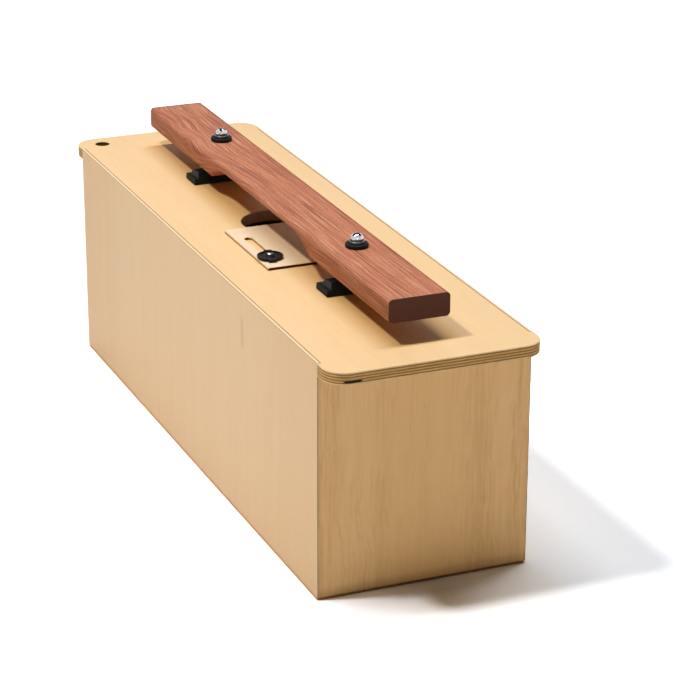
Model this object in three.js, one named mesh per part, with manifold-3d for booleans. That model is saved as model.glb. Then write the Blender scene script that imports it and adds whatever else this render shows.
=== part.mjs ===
// Contrabass resonator bar: one rosewood tone bar on a closed plywood resonator box.
// Millimetres. X is across the box, Y runs along the bar, +Z is up, and the floor is at Z = 0.
// The front end of the box faces -Y.

import * as THREE from 'three';
import { mergeVertices } from 'three/addons/utils/BufferGeometryUtils.js';
import Module from 'manifold-3d';

// Box
const BOX_WIDTH = 213.5;
const BOX_LENGTH = 700;
const WALL = 9;
const WALL_HEIGHT = 221;
const BOTTOM_THICKNESS = 6;
const BATTEN = 16;
const FOOT_HEIGHT = 2;
const FOOT_RADIUS = 12;
const FOOT_INSET = 30;

// Lid
const LID_THICKNESS = 12;
const LID_OVERHANG = 32;
const LID_CORNER_RADIUS = 22;
const LIP = 3;
const SOUND_HOLE_X = 3;
const SOUND_HOLE_Y = 34;
const SOUND_HOLE_RADIUS = 36;
const MALLET_HOLE_RADIUS = 8;
const MALLET_HOLE_INSET = 27;
const MALLET_HOLE_LAND = 1.5;

// Tone bar
const BAR_LENGTH = 668;
const BAR_WIDTH = 61;
const BAR_THICKNESS = 23;
const BAR_EDGE_RADIUS = 4;
const BAR_ROOF = 7.3;
const NODE_SPACING = 374;
const ARCH_TO_NODE = 47;
const ARCH_RAMP = 45;
const ARCH_SHOULDER = 25;

// Rubber support under the bar at each node
const SUPPORT_REACH = 4.5;
const SUPPORT_FRONT = 11;
const SUPPORT_DEPTH = 28.5;
const SUPPORT_FOOT = 6.4;
const RISER_HEIGHT = 7.6;
const RISER_DEPTH = 18.5;
const RISER_END_INSET = 2.4;
const RISER_TAPER = 1.9;
const CUSHION_RADIUS = 7.2;
const CUSHION_HEIGHT = 6.2;

// Grommet, washer, screw and T-nut at each node
const GROMMET_RADIUS = 11.4;
const GROMMET_RIM = 4.2;
const GROMMET_ROUND = 1.4;
const COLLAR_RADIUS = 9;
const COLLAR_RISE = 1;
const NECK_RADIUS = 5.6;
const NECK_LENGTH = 12;
const WASHER_RADIUS = 7.8;
const WASHER_THICKNESS = 1;
const SCREW_RADIUS = 3;
const SCREW_TIP = 0.6;
const HEAD_RADIUS = 6.75;
const HEAD_HEIGHT = 7.4;
const HEAD_SIDE = 2.4;
const RECESS_LENGTH = 7;
const RECESS_WIDTH = 1.7;
const RECESS_DEPTH = 3;
const NUT_FLANGE_RADIUS = 9.5;
const NUT_FLANGE = 1.5;
const NUT_BARREL_RADIUS = 4.4;
const NUT_BARREL = 9;
const SCREW_PAST_NUT = 3;

// Tuning slide over the sound hole
const SLIDE_THICKNESS = 3;
const SLIDE_REST_COVER = 19.5;
const SLIDE_OPENS = 60;
const SLIDE_CLOSES = 5;
const SLOT_WIDTH = 9.4;
const SLOT_LAND = 8.2;
const SLOT_EDGE = 8.6;
const SLOT_REAR_LAND = 29.5;
const SLOT_FRONT_LAND = 17.2;
const SLOT_REAR_GAP = 4.3;
const SLOT_FRONT_GAP = 1.5;
const SLOT_SIDE_PLAY = 0.6;

// Clamp bolt, washer and knob in one slot, guide screw and washer in the other
const BOLT_RADIUS = 3;
const BOLT_HEAD_RADIUS = 6;
const BOLT_HEAD = 3.5;
const BOLT_HEAD_SIDE = 1.2;
const BOLT_PAST_HUB = 0.8;
const CLAMP_WASHER_RADIUS = 9;
const CLAMP_WASHER = 1;
const KNOB_RADIUS = 13;
const KNOB_RIM = 2.2;
const KNOB_RIM_WIDTH = 2;
const KNOB_FLOOR = 1.4;
const HUB_RADIUS = 5;
const HUB_HEIGHT = 3.2;
const LUG_REACH = 2.4;
const LUG_WIDTH = 8.4;
const KNOB_TURN_DEG = 79;
const GUIDE_HEAD_RADIUS = 5;
const GUIDE_HEAD = 3;
const GUIDE_HEAD_SIDE = 1;

// Clearances
const GLUE_GAP = 0.4;
const SEAT = 0.1;
const FIT = 0.3;

// Facet counts
const ROUND_SIDES = 24;
const HOLE_SIDES = 48;
const ARC_STEPS = 4;
const CROWN_STEPS = 4;

// Heights and places worked out from the sizes above
const lidBottom = FOOT_HEIGHT + WALL_HEIGHT + SEAT;
const lidTop = lidBottom + LID_THICKNESS;
const supportBottom = lidTop + SEAT;
const supportHeight = SUPPORT_FOOT + RISER_HEIGHT;
const cushionBottom = supportBottom + supportHeight + SEAT;
const barBottom = cushionBottom + CUSHION_HEIGHT + SEAT;
const barTop = barBottom + BAR_THICKNESS;
const grommetBottom = barTop + SEAT;
const grommetHeight = GROMMET_RIM + COLLAR_RISE;
const washerBottom = grommetBottom + grommetHeight + SEAT;
const headBottom = washerBottom + WASHER_THICKNESS + SEAT;
const nutTop = lidBottom - SEAT;
const nodeY = NODE_SPACING / 2;

const slideBottom = lidTop + SEAT;
const slideTop = slideBottom + SLIDE_THICKNESS;
const clampWasherBottom = slideTop + SEAT;
const knobBottom = clampWasherBottom + CLAMP_WASHER + SEAT;
const slotOffset = SOUND_HOLE_RADIUS + SLOT_LAND + SLOT_WIDTH / 2;
const slotCentres = [SOUND_HOLE_X - slotOffset, SOUND_HOLE_X + slotOffset];
const slideHalfWidth = slotOffset + SLOT_WIDTH / 2 + SLOT_EDGE;
const slideRear = SOUND_HOLE_Y - SOUND_HOLE_RADIUS + SLIDE_REST_COVER;
const slotRear = slideRear - SLOT_REAR_LAND;
const boltY = slotRear - SLOT_REAR_GAP - SLIDE_OPENS - BOLT_RADIUS;
const slotFront = boltY - BOLT_RADIUS - SLIDE_CLOSES - SLOT_FRONT_GAP;
const boltOffset = slotOffset + SLOT_WIDTH / 2 - SLOT_SIDE_PLAY - BOLT_RADIUS;
const boltCentres = [SOUND_HOLE_X - boltOffset, SOUND_HOLE_X + boltOffset];
const slideFront = slotFront - SLOT_FRONT_LAND;

// Colours and finishes
const FINISHES = {
  birchLid: [0xf3cd97, 0.55, 0],
  birchWall: [0xdcb88f, 0.55, 0],
  birchEnd: [0xc89c68, 0.55, 0],
  pine: [0xd9b98a, 0.7, 0],
  rosewood: [0xb5735a, 0.45, 0],
  slide: [0xebd2b0, 0.5, 0],
  rubber: [0x1a1518, 0.6, 0],
  plastic: [0x2a2a2a, 0.4, 0],
  steel: [0xd8d8da, 0.25, 1],
};

const wasm = await Module();
wasm.setup();

const resonatorBar = new THREE.Group();

function add(name, geometry, finish, x = 0, y = 0, z = 0) {
  const [color, roughness, metalness] = FINISHES[finish];
  const mesh = new THREE.Mesh(geometry, new THREE.MeshStandardMaterial({ color, roughness, metalness }));
  mesh.name = name;
  mesh.position.set(x, y, z);
  resonatorBar.add(mesh);
  return mesh;
}

// A closed geometry as a solid that can be joined and cut, and back again
function solidOf(geometry) {
  const bare = geometry.clone();
  bare.deleteAttribute('normal');
  bare.deleteAttribute('uv');
  const merged = mergeVertices(bare);
  return new wasm.Manifold(new wasm.Mesh({
    numProp: 3,
    vertProperties: new Float32Array(merged.attributes.position.array),
    triVerts: new Uint32Array(merged.index.array),
  }));
}

function geometryOf(solid) {
  const mesh = solid.getMesh();
  const geometry = new THREE.BufferGeometry();
  geometry.setAttribute('position', new THREE.BufferAttribute(mesh.vertProperties, 3));
  geometry.setIndex(new THREE.BufferAttribute(mesh.triVerts, 1));
  geometry.computeVertexNormals();
  return geometry;
}

function box(width, depth, height, x = 0, y = 0, z = 0) {
  return new THREE.BoxGeometry(width, depth, height).translate(x, y, z);
}

function outline(points) {
  return new THREE.Shape(points.map(([x, y]) => new THREE.Vector2(x, y)));
}

function extrude(shape, depth) {
  return new THREE.ExtrudeGeometry(shape, { depth, bevelEnabled: false, curveSegments: ARC_STEPS });
}

function circle(x, y, radius, sides = ROUND_SIDES) {
  const points = [];
  for (let i = 0; i < sides; i += 1) {
    const angle = (2 * Math.PI * i) / sides;
    points.push(new THREE.Vector2(x + radius * Math.cos(angle), y + radius * Math.sin(angle)));
  }
  return new THREE.Path(points);
}

// A profile of [radius, height] points turned about Z
function turn(profile) {
  const points = profile.map(([radius, height]) => new THREE.Vector2(radius, height));
  return new THREE.LatheGeometry(points, ROUND_SIDES).rotateX(Math.PI / 2);
}

function ring(outer, inner, height) {
  return turn([[inner, 0], [outer, 0], [outer, height], [inner, height], [inner, 0]]);
}

function rod(radius, height, z = 0) {
  return turn([[0, z], [radius, z], [radius, z + height], [0, z + height]]);
}

// Plywood box
function sidePanel(side) {
  const outer = (side * BOX_WIDTH) / 2;
  const inner = outer - side * WALL;
  const end = BOX_LENGTH / 2;
  const plan = outline([[outer, -end], [outer, end], [inner, end - WALL], [inner, WALL - end]]);
  const lipHeight = LID_THICKNESS + SEAT;
  const lip = box(LIP, BOX_LENGTH, lipHeight, outer - (side * LIP) / 2, 0, WALL_HEIGHT + lipHeight / 2);
  return geometryOf(solidOf(extrude(plan, WALL_HEIGHT)).add(solidOf(lip)));
}

function endPanel(end) {
  const outerX = BOX_WIDTH / 2 - GLUE_GAP;
  const innerX = outerX - WALL;
  const outerY = (end * BOX_LENGTH) / 2;
  const innerY = outerY - end * WALL;
  const plan = outline([[-outerX, outerY], [outerX, outerY], [innerX, innerY], [-innerX, innerY]]);
  return extrude(plan, WALL_HEIGHT);
}

function addBox() {
  add('left_side_panel', sidePanel(-1), 'birchWall', 0, 0, FOOT_HEIGHT);
  add('right_side_panel', sidePanel(1), 'birchWall', 0, 0, FOOT_HEIGHT);
  add('front_end_panel', endPanel(-1), 'birchEnd', 0, 0, FOOT_HEIGHT);
  add('rear_end_panel', endPanel(1), 'birchEnd', 0, 0, FOOT_HEIGHT);

  const insideX = BOX_WIDTH / 2 - WALL - GLUE_GAP;
  const insideY = BOX_LENGTH / 2 - WALL - GLUE_GAP;
  const bottom = box(2 * insideX, 2 * insideY, BOTTOM_THICKNESS);
  add('bottom_panel', bottom, 'birchWall', 0, 0, FOOT_HEIGHT + BOTTOM_THICKNESS / 2);

  const battenBottom = FOOT_HEIGHT + BOTTOM_THICKNESS + SEAT;
  const battenLength = lidBottom - SEAT - battenBottom;
  const footX = BOX_WIDTH / 2 - FOOT_INSET;
  const footY = BOX_LENGTH / 2 - FOOT_INSET;
  for (const [endName, end] of [['front', -1], ['rear', 1]]) {
    for (const [sideName, side] of [['left', -1], ['right', 1]]) {
      const x = side * (insideX - BATTEN / 2);
      const y = end * (insideY - BATTEN / 2);
      const batten = box(BATTEN, BATTEN, battenLength);
      add(`corner_batten_${endName}_${sideName}`, batten, 'pine', x, y, battenBottom + battenLength / 2);
      const foot = rod(FOOT_RADIUS, FOOT_HEIGHT - SEAT);
      add(`foot_${endName}_${sideName}`, foot, 'rubber', side * footX, end * footY);
    }
  }
}

// The lid sits between the lips of the side panels and flares to full width past each end panel
function addLid() {
  const neckX = BOX_WIDTH / 2 - LIP - GLUE_GAP;
  const earX = BOX_WIDTH / 2;
  const earY = BOX_LENGTH / 2 + GLUE_GAP;
  const endY = BOX_LENGTH / 2 + LID_OVERHANG;
  const radius = Math.min(LID_CORNER_RADIUS, LID_OVERHANG - GLUE_GAP);
  const quarter = Math.PI / 2;
  const shape = new THREE.Shape();
  shape.moveTo(neckX, -earY);
  shape.lineTo(neckX, earY);
  shape.lineTo(earX, earY);
  shape.absarc(earX - radius, endY - radius, radius, 0, quarter, false);
  shape.absarc(radius - earX, endY - radius, radius, quarter, 2 * quarter, false);
  shape.lineTo(-earX, earY);
  shape.lineTo(-neckX, earY);
  shape.lineTo(-neckX, -earY);
  shape.lineTo(-earX, -earY);
  shape.absarc(radius - earX, radius - endY, radius, 2 * quarter, 3 * quarter, false);
  shape.absarc(earX - radius, radius - endY, radius, 3 * quarter, 4 * quarter, false);
  shape.lineTo(earX, -earY);

  const malletX = MALLET_HOLE_INSET - earX;
  const malletY = BOX_LENGTH / 2 + MALLET_HOLE_RADIUS + MALLET_HOLE_LAND;
  shape.holes.push(circle(SOUND_HOLE_X, SOUND_HOLE_Y, SOUND_HOLE_RADIUS, HOLE_SIDES));
  shape.holes.push(circle(malletX, malletY, MALLET_HOLE_RADIUS));
  for (const y of [-nodeY, nodeY]) {
    shape.holes.push(circle(0, y, NUT_BARREL_RADIUS + FIT));
  }
  for (const x of boltCentres) {
    shape.holes.push(circle(x, boltY, BOLT_RADIUS + FIT));
  }
  add('lid', extrude(shape, LID_THICKNESS), 'birchLid', 0, 0, lidBottom);
}

// The bar is thinned from below between its nodes, and its long edges are rounded
function addToneBar() {
  const end = BAR_LENGTH / 2;
  const arch = nodeY - ARCH_TO_NODE;
  const roof = arch - ARCH_RAMP;
  const shoulder = arch - ARCH_SHOULDER;
  const depth = BAR_THICKNESS - BAR_ROOF;
  const side = new THREE.Shape();
  side.moveTo(-end, 0);
  side.lineTo(-arch, 0);
  side.quadraticCurveTo(-shoulder, depth, -roof, depth);
  side.lineTo(roof, depth);
  side.quadraticCurveTo(shoulder, depth, arch, 0);
  side.lineTo(end, 0);
  side.lineTo(end, BAR_THICKNESS);
  side.lineTo(-end, BAR_THICKNESS);
  const sideways = new THREE.Matrix4().makeBasis(
    new THREE.Vector3(0, 1, 0), new THREE.Vector3(0, 0, 1), new THREE.Vector3(1, 0, 0));
  const profile = extrude(side, BAR_WIDTH).translate(0, 0, -BAR_WIDTH / 2).applyMatrix4(sideways);

  const radius = BAR_EDGE_RADIUS;
  const halfX = BAR_WIDTH / 2;
  const quarter = Math.PI / 2;
  const section = new THREE.Shape();
  section.absarc(halfX - radius, radius, radius, -quarter, 0, false);
  section.absarc(halfX - radius, BAR_THICKNESS - radius, radius, 0, quarter, false);
  section.absarc(radius - halfX, BAR_THICKNESS - radius, radius, quarter, 2 * quarter, false);
  section.absarc(radius - halfX, radius, radius, 2 * quarter, 3 * quarter, false);
  const lengthways = new THREE.Matrix4().makeBasis(
    new THREE.Vector3(1, 0, 0), new THREE.Vector3(0, 0, 1), new THREE.Vector3(0, -1, 0));
  const blank = extrude(section, BAR_LENGTH).translate(0, 0, -end).applyMatrix4(lengthways);

  let bar = solidOf(profile).intersect(solidOf(blank));
  const bore = rod(NECK_RADIUS + FIT, 3 * BAR_THICKNESS, -BAR_THICKNESS);
  for (const y of [-nodeY, nodeY]) {
    bar = bar.subtract(solidOf(bore.clone().translate(0, y, 0)));
  }
  add('tone_bar', geometryOf(bar), 'rosewood', 0, 0, barBottom);
}

// A moulded foot that reaches past the sides of the bar, with a riser on its front part
function barSupport() {
  const reach = BAR_WIDTH / 2 + SUPPORT_REACH;
  const rearEnd = reach - RISER_END_INSET;
  const frontEnd = rearEnd - RISER_TAPER;
  const riserRear = RISER_DEPTH - SUPPORT_FRONT;
  const riser = outline([
    [-frontEnd, -SUPPORT_FRONT], [frontEnd, -SUPPORT_FRONT], [rearEnd, riserRear], [-rearEnd, riserRear],
  ]);
  const footMiddle = SUPPORT_DEPTH / 2 - SUPPORT_FRONT;
  const foot = box(2 * reach, SUPPORT_DEPTH, SUPPORT_FOOT, 0, footMiddle, SUPPORT_FOOT / 2);
  const bore = rod(SCREW_RADIUS + FIT, 3 * supportHeight, -supportHeight);
  const block = solidOf(extrude(riser, supportHeight)).add(solidOf(foot));
  return geometryOf(block.subtract(solidOf(bore)));
}

function grommet() {
  const bore = SCREW_RADIUS + FIT;
  const rim = GROMMET_RADIUS - GROMMET_ROUND;
  return turn([
    [bore, -NECK_LENGTH], [NECK_RADIUS, -NECK_LENGTH], [NECK_RADIUS, 0],
    [rim, 0], [GROMMET_RADIUS, GROMMET_ROUND], [GROMMET_RADIUS, GROMMET_RIM - GROMMET_ROUND],
    [rim, GROMMET_RIM], [COLLAR_RADIUS, GROMMET_RIM], [COLLAR_RADIUS, grommetHeight],
    [bore, grommetHeight], [bore, -NECK_LENGTH],
  ]);
}

// A round-topped head on a plain shank, with its seat at height 0
function panHeadScrew(shank, length, head, height, sideHeight) {
  const tip = shank - SCREW_TIP;
  const profile = [[0, -length], [tip, -length], [shank, SCREW_TIP - length], [shank, 0], [head, 0]];
  for (let i = 0; i <= CROWN_STEPS; i += 1) {
    const angle = (Math.PI / 2) * (i / CROWN_STEPS);
    const radius = i < CROWN_STEPS ? head * Math.cos(angle) : 0;
    profile.push([radius, sideHeight + (height - sideHeight) * Math.sin(angle)]);
  }
  return turn(profile);
}

function barScrew() {
  const length = headBottom - nutTop + NUT_FLANGE + SCREW_PAST_NUT;
  const screw = solidOf(panHeadScrew(SCREW_RADIUS, length, HEAD_RADIUS, HEAD_HEIGHT, HEAD_SIDE));
  const across = solidOf(box(RECESS_LENGTH, RECESS_WIDTH, 2 * RECESS_DEPTH, 0, 0, HEAD_HEIGHT));
  const along = solidOf(box(RECESS_WIDTH, RECESS_LENGTH, 2 * RECESS_DEPTH, 0, 0, HEAD_HEIGHT));
  return geometryOf(screw.subtract(across.add(along)));
}

function teeNut() {
  const bore = SCREW_RADIUS + FIT;
  return turn([
    [bore, -NUT_FLANGE], [NUT_FLANGE_RADIUS, -NUT_FLANGE], [NUT_FLANGE_RADIUS, 0],
    [NUT_BARREL_RADIUS, 0], [NUT_BARREL_RADIUS, NUT_BARREL], [bore, NUT_BARREL], [bore, -NUT_FLANGE],
  ]);
}

function addBarFixings() {
  for (const [endName, y] of [['front', -nodeY], ['rear', nodeY]]) {
    const cushion = ring(CUSHION_RADIUS, SCREW_RADIUS + FIT, CUSHION_HEIGHT);
    const washer = ring(WASHER_RADIUS, SCREW_RADIUS + FIT, WASHER_THICKNESS);
    add(`bar_support_${endName}`, barSupport(), 'rubber', 0, y, supportBottom);
    add(`bar_cushion_${endName}`, cushion, 'rubber', 0, y, cushionBottom);
    add(`bar_grommet_${endName}`, grommet(), 'rubber', 0, y, grommetBottom);
    add(`bar_washer_${endName}`, washer, 'steel', 0, y, washerBottom);
    add(`bar_screw_${endName}`, barScrew(), 'steel', 0, y, headBottom);
    add(`bar_tee_nut_${endName}`, teeNut(), 'steel', 0, y, nutTop);
  }
}

// A flat plate with one slot each side of the sound hole
function addTuningSlide() {
  const left = SOUND_HOLE_X - slideHalfWidth;
  const right = SOUND_HOLE_X + slideHalfWidth;
  const plate = outline([[left, slideFront], [right, slideFront], [right, slideRear], [left, slideRear]]);
  const radius = SLOT_WIDTH / 2;
  for (const x of slotCentres) {
    const slot = new THREE.Path();
    slot.absarc(x, slotRear - radius, radius, 0, Math.PI, false);
    slot.absarc(x, slotFront + radius, radius, Math.PI, 2 * Math.PI, false);
    plate.holes.push(slot);
  }
  add('tuning_slide', extrude(plate, SLIDE_THICKNESS), 'slide', 0, 0, slideBottom);
}

// A dished disc with a raised hub and a finger lug at each end of one diameter
function knob() {
  const bore = BOLT_RADIUS + FIT;
  const dish = KNOB_RADIUS - KNOB_RIM_WIDTH;
  const disc = turn([
    [bore, 0], [KNOB_RADIUS, 0], [KNOB_RADIUS, KNOB_RIM], [dish, KNOB_RIM], [dish, KNOB_FLOOR],
    [HUB_RADIUS, KNOB_FLOOR], [HUB_RADIUS, HUB_HEIGHT], [bore, HUB_HEIGHT], [bore, 0],
  ]);
  const lugEnd = KNOB_RADIUS + LUG_REACH;
  const lugs = box(2 * lugEnd, LUG_WIDTH, KNOB_RIM, 0, 0, KNOB_RIM / 2);
  const middle = rod(dish, 3 * KNOB_RIM, -KNOB_RIM);
  return geometryOf(solidOf(disc).add(solidOf(lugs).subtract(solidOf(middle))));
}

function addSlideFixings() {
  const [boltX, guideX] = boltCentres;
  const boltSeat = lidBottom - SEAT;
  const boltLength = knobBottom + HUB_HEIGHT + BOLT_PAST_HUB - boltSeat;
  const bolt = panHeadScrew(BOLT_RADIUS, boltLength, BOLT_HEAD_RADIUS, BOLT_HEAD, BOLT_HEAD_SIDE);
  add('slide_bolt', bolt.rotateX(Math.PI), 'steel', boltX, boltY, boltSeat);
  const clampWasher = ring(CLAMP_WASHER_RADIUS, BOLT_RADIUS + FIT, CLAMP_WASHER);
  add('slide_washer', clampWasher, 'steel', boltX, boltY, clampWasherBottom);
  const clampKnob = add('slide_knob', knob(), 'plastic', boltX, boltY, knobBottom);
  clampKnob.rotation.z = THREE.MathUtils.degToRad(KNOB_TURN_DEG);

  const guideLength = knobBottom - lidBottom - SCREW_TIP;
  const guide = panHeadScrew(BOLT_RADIUS, guideLength, GUIDE_HEAD_RADIUS, GUIDE_HEAD, GUIDE_HEAD_SIDE);
  add('slide_guide_screw', guide, 'steel', guideX, boltY, knobBottom);
  const guideWasher = ring(CLAMP_WASHER_RADIUS, BOLT_RADIUS + FIT, CLAMP_WASHER);
  add('slide_guide_washer', guideWasher, 'steel', guideX, boltY, clampWasherBottom);
}

addBox();
addLid();
addToneBar();
addBarFixings();
addTuningSlide();
addSlideFixings();

export default resonatorBar;
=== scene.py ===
# %% [markdown]
# # Contrabass resonator bar
# A single rosewood bar lies on two rubber supports above a closed plywood box. The air in the box is tuned to
# the bar, and a small slide over the sound hole trims that tuning.
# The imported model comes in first, as a fixed frame. Each piece made below takes its place and its size from the
# node that it stands for, so nothing has to be fitted by eye. The frame is in metres, and most numbers below are
# in millimetres, so two small functions give a node's box and its middle in millimetres.

# %% Load the frame
import math

import bmesh
import bpy
from mathutils import Matrix, Vector


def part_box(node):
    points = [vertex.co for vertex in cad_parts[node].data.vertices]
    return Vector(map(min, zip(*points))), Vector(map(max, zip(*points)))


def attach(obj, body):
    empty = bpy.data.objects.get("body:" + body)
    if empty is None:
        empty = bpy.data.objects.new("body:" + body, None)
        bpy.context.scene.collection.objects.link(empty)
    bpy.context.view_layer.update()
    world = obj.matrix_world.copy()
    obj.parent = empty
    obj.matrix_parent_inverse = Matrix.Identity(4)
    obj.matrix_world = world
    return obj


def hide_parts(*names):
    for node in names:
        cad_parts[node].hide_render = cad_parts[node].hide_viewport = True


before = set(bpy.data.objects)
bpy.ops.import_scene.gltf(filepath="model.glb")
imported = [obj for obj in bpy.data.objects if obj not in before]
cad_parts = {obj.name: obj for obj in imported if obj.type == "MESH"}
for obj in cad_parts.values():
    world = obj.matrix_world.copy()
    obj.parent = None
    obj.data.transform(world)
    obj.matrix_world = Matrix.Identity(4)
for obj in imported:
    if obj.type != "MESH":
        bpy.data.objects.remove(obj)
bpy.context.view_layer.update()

MM = 0.001
scene = bpy.context.scene


def box_mm(node):
    return [[value / MM for value in corner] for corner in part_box(node)]


def middle_mm(node):
    return [(low + high) / 2 for low, high in zip(*box_mm(node))]


# %% [markdown]
# ## The camera
# The camera stands to the left of the front end and looks down on the lid. Its place comes from measured edges
# of the photograph: the angles fix the direction, and the focal length in pixels fixes how fast the box narrows
# towards the back. A lens length is that focal length times the sensor's width over the image's width.

# %% Place the camera
AZIMUTH = math.radians(-22.762)
ELEVATION = math.radians(21.404)
ROLL = math.radians(0.225)
TARGET = Vector((71.883, 0.0, 94.505)) * MM
DISTANCE = 2753.05 * MM
FOCAL_PIXELS = 2631.97
IMAGE_PIXELS = 700

flat = math.cos(ELEVATION)
back = Vector((math.sin(AZIMUTH) * flat, -math.cos(AZIMUTH) * flat, math.sin(ELEVATION)))
level = Vector((math.cos(AZIMUTH), math.sin(AZIMUTH), 0.0))
upright = back.cross(level)
right = level * math.cos(ROLL) + upright * math.sin(ROLL)
up = upright * math.cos(ROLL) - level * math.sin(ROLL)

camera_data = bpy.data.cameras.new("camera")
camera_data.lens = FOCAL_PIXELS * camera_data.sensor_width / IMAGE_PIXELS
camera = bpy.data.objects.new("camera", camera_data)
axes = Matrix((right, up, back)).transposed().to_4x4()
camera.matrix_world = Matrix.Translation(TARGET + back * DISTANCE) @ axes
scene.collection.objects.link(camera)
scene.camera = camera
print("lens", round(camera_data.lens, 1), "mm")

# %% [markdown]
# ## Helpers for materials
# Colours are written as sRGB hex, as a paint program shows them, but shaders work in linear light. One function
# turns the one into the other. A second function adds a node with all that it needs. Plain arguments go to the
# inputs in their order, and named ones to a property, or else to the input of that name. A node or a socket is
# linked, any other value is set, and a colour ramp gets its stops.
# Every material reads Object coordinates. All pieces lie at the origin, so these are places on the instrument,
# and multiplied by 1000 they are millimetres. Every finish ends the same way: a colour, a roughness and a fine
# relief go to the shader.

# %% Helpers for materials
def linear(hex_colour):
    parts = [int(hex_colour[i:i + 2], 16) / 255 for i in (1, 3, 5)]
    return [p / 12.92 if p <= 0.04045 else ((p + 0.055) / 1.055) ** 2.4 for p in parts] + [1.0]


def add_node(tree, kind, *inputs, stops=(), **settings):
    node = tree.nodes.new(kind if "Node" in kind else "ShaderNode" + kind)
    for key in [key for key in settings if hasattr(node, key)]:
        setattr(node, key, settings.pop(key))
    pairs = list(zip([socket for socket in node.inputs if socket.enabled], inputs))
    pairs += [(node.inputs[key.replace("_", " ")], value) for key, value in settings.items()]
    for socket, value in pairs:
        if isinstance(value, bpy.types.Node):
            value = next(output for output in value.outputs if output.enabled)
        if isinstance(value, bpy.types.NodeSocket):
            tree.links.new(value, socket)
        else:
            socket.default_value = value
    ramp = node.color_ramp.elements if stops else ()
    for _ in stops[len(ramp):]:
        ramp.new(1.0)
    for element, (position, shade) in zip(ramp, stops):
        element.position = position
        element.color = linear(shade)
    return node


def start_material(name):
    material = bpy.data.materials.new(name)
    material.use_nodes = True
    tree = material.node_tree
    tree.nodes.clear()
    place = add_node(tree, "TexCoord").outputs["Object"]
    mm = add_node(tree, "VectorMath", place, operation="SCALE", Scale=1 / MM)
    return material, tree, mm


def dress(tree, colour, rough, height, strength, depth, **settings):
    relief = add_node(tree, "Bump", Strength=strength, Distance=depth * MM, Height=height)
    shader = add_node(tree, "BsdfPrincipled", Base_Color=colour, Roughness=rough, Normal=relief, **settings)
    add_node(tree, "OutputMaterial", Surface=shader)


print("middle grey in linear light is", round(linear("#808080")[0], 3))

# %% [markdown]
# Wood is grain and marks. Grain is noise stretched along the fibres, so its size is given in millimetres for each
# axis. A mark has a place, and a soft edge. The edge is a step, which rises from 0 to 1 while some field, such as
# a coordinate, goes from one value to another. Steps multiplied make a mask, and a mask lays a shade over a colour.
# Most marks are the same on both sides of the middle, so a place is given twice, as it is and without its sign.
# The way that a face looks is given in the same manner.

# %% Helpers for grain and marks
def stretched(tree, vector, size, detail=3.0, shift=0.0):
    placed = add_node(tree, "Mapping", Scale=[1 / s for s in size], Location=[shift] * 3, Vector=vector)
    return add_node(tree, "TexNoise", Scale=1.0, Detail=detail, Vector=placed)


def places(tree, vector):
    out = add_node(tree, "VectorMath", vector, operation="ABSOLUTE")
    return [add_node(tree, "SeparateXYZ", part).outputs for part in (vector, out)]


def facing(tree):
    return places(tree, add_node(tree, "NewGeometry").outputs["True Normal"])


def soft_mask(tree, *steps, most=1.0):
    mask = most
    for field, start, full in steps:
        step = add_node(tree, "MapRange", field, start, full)
        mask = add_node(tree, "Math", step, mask, operation="MULTIPLY")
    return mask


def shade_where(tree, colour, shade, *steps, most=1.0, blend="MIX"):
    shade = linear(shade) if isinstance(shade, str) else shade
    mask = soft_mask(tree, *steps, most=most)
    return add_node(tree, "Mix", mask, colour, shade, data_type="RGBA", blend_type=blend)


def off_from(tree, mm, middle):
    return places(tree, add_node(tree, "VectorMath", mm, middle, operation="SUBTRACT"))[1]


def box_steps(tree, mm, low, high):
    off = off_from(tree, mm, [(a + b) / 2 for a, b in zip(low, high)])
    reach = [(b - a) / 2 for a, b in zip(low, high)]
    return [(out, far, 0.7 * far) for out, far in zip(off, reach)]


print("grain, masks and shades ready")

# %% [markdown]
# ## Birch veneer
# The box is birch plywood under a thin satin lacquer. The face veneer is peeled from the log in one sheet, so it
# is pale and even, with soft bands, fine fibres along the grain and a few dark flecks. Three stretched noises give
# these three scales, and a slow one makes the grain wave. Real fibres are about 0.3 mm wide, too fine for this
# picture, so they are drawn 2.4 mm wide.
# On the front panel the grain is calm in the middle, where the veneer was cut flattest. At the corners the side
# panel ends in a pale line, a painted highlight on the eased edge, and the end panel begins with a dark one, its
# glue joint. The lip on a side panel is as pale as the lid, the foot of the end panel is painted darker, painted
# shade where it meets the floor, and the left panel has one faint streak, a flaw of this sheet.

# %% Birch veneer
GRAIN_MM = {"band": (17.0, 330.0), "fibre": (2.4, 70.0), "fleck": (1.4, 16.0)}
WAVE_MM, WAVE_SWING = 70.0, 16.0
ACROSS, ALONG, UPRIGHT = 0, 1, 2
wall_low, wall_high = box_mm("left_side_panel")
OUTER_X, OUTER_Y, WALL_TOP = -wall_low[0], wall_high[1], wall_high[2]


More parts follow.
